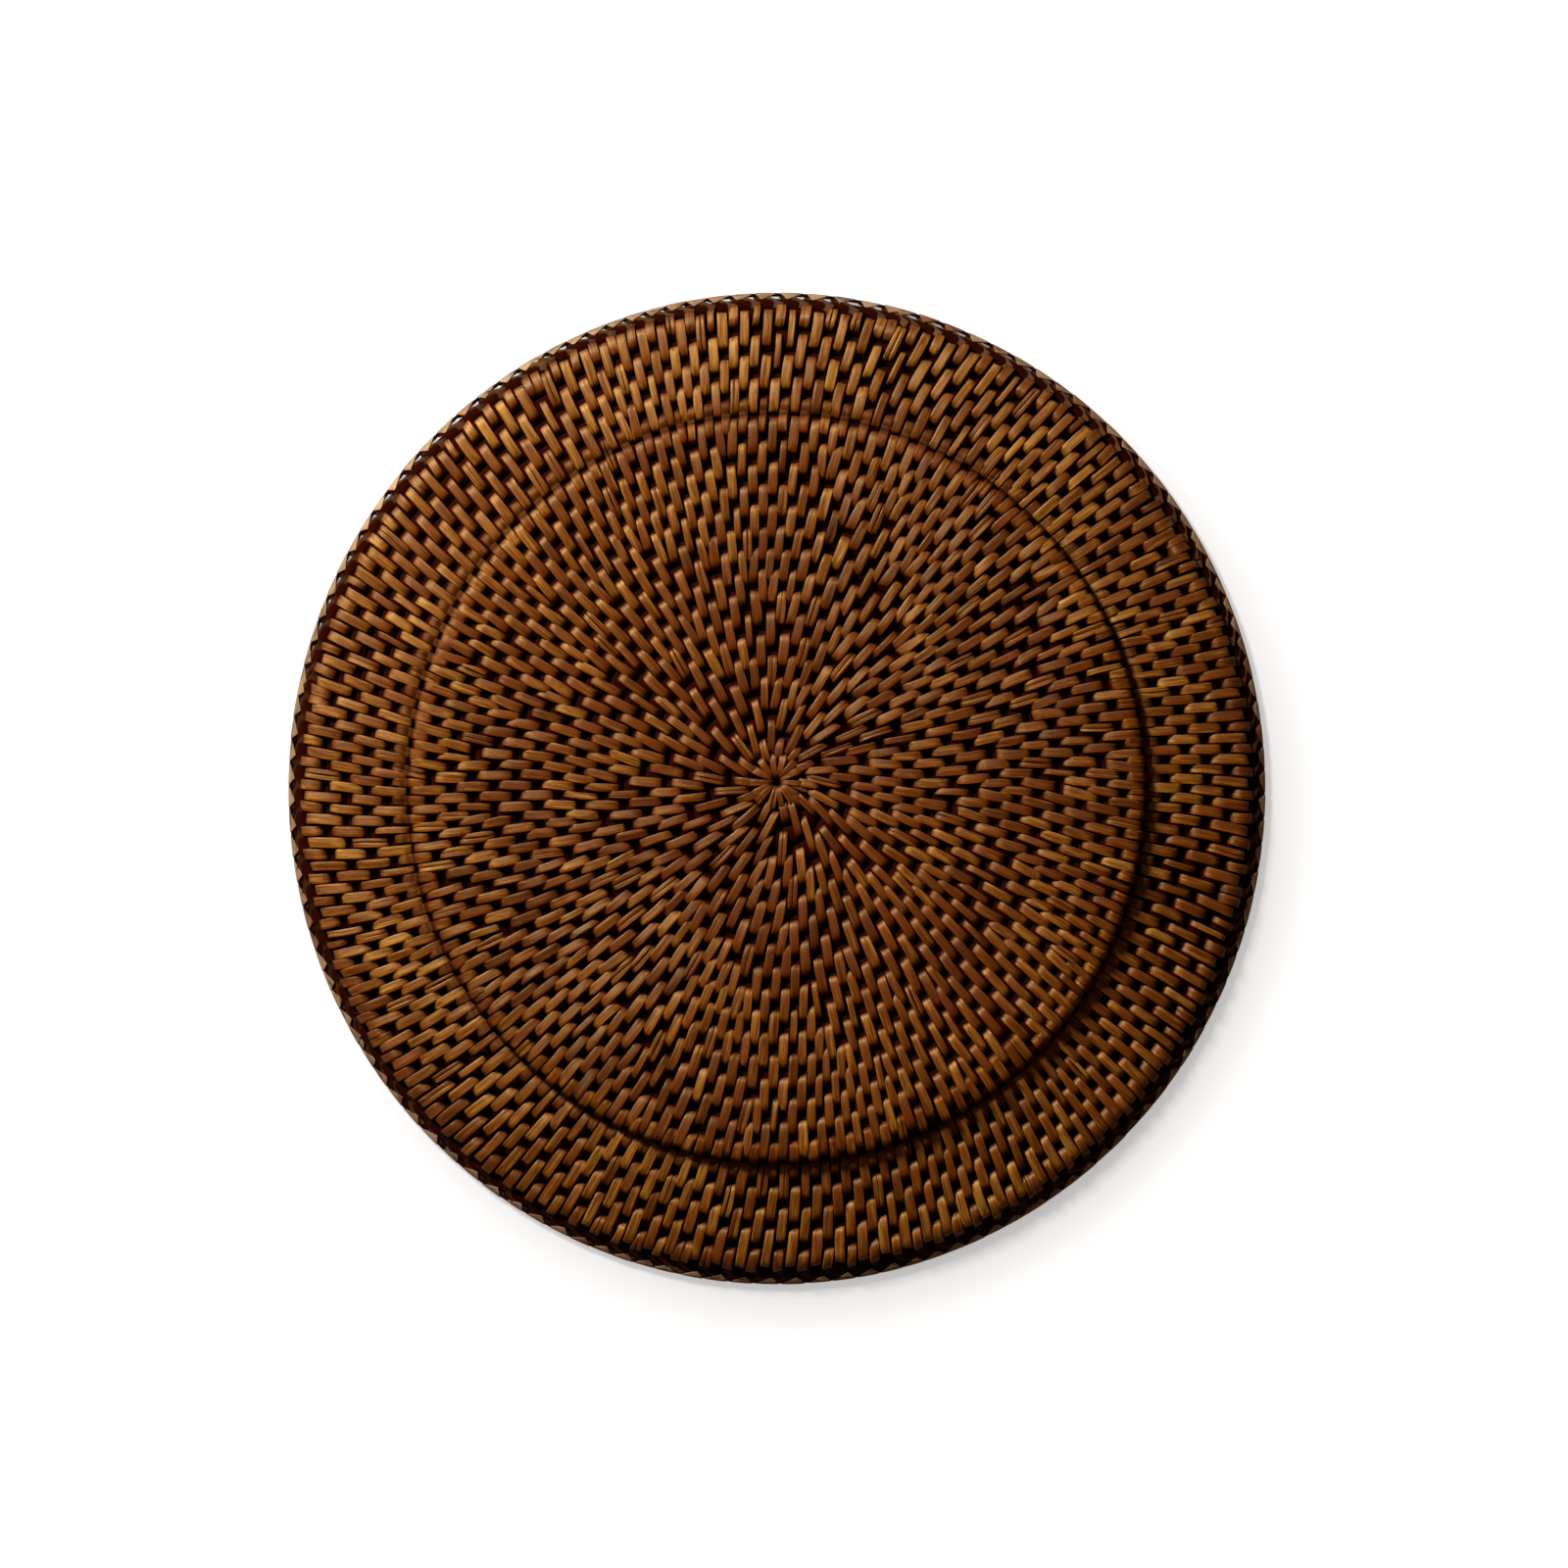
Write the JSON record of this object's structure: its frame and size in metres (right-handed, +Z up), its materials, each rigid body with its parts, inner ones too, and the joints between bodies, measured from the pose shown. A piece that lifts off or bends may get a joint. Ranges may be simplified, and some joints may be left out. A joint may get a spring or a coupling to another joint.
{
  "type": "rattan plate",
  "caption": "Round coiled rattan plate lying face down: a raised flat foot of sewn cane, a gently sloping ring of cane hoops and a thin lashed rim.",
  "frame": {"origin": "middle of the plate on the table that its rim lies on", "axes": "+Z up through the middle of the raised foot, +X to the right and +Y away as pictured from above"},
  "size_m": [0.3278, 0.3328, 0.016],
  "materials": {
    "core_cane": "dark stained round cane, mostly hidden",
    "binding_peel": "honey brown rattan peel under a satin lacquer",
    "rim_cane": "paler brown split cane under a satin lacquer"
  },
  "bodies": {
    "root": {"foot_cane_1": "core_cane", "foot_cane_2": "core_cane", "foot_cane_3": "core_cane", "foot_binding_01": "binding_peel", "foot_binding_02": "binding_peel", "foot_binding_03": "binding_peel", "foot_binding_04": "binding_peel", "foot_binding_05": "binding_peel", "foot_binding_06": "binding_peel", "foot_binding_07": "binding_peel", "foot_binding_08": "binding_peel", "foot_binding_09": "binding_peel", "foot_binding_10": "binding_peel", "foot_binding_11": "binding_peel", "foot_binding_12": "binding_peel", "foot_binding_13": "binding_peel", "foot_binding_14": "binding_peel", "foot_binding_15": "binding_peel", "foot_binding_16": "binding_peel", "centre_rosette": "binding_peel", "step_binding": "binding_peel", "ring_hoop_1": "core_cane", "ring_hoop_2": "core_cane", "ring_hoop_3": "core_cane", "ring_hoop_4": "core_cane", "ring_hoop_5": "core_cane", "ring_binding_1": "binding_peel", "ring_binding_2": "binding_peel", "ring_binding_3": "binding_peel", "ring_binding_4": "binding_peel", "rim_cane": "rim_cane", "rim_lashing": "binding_peel"}
  },
  "joints": []
}
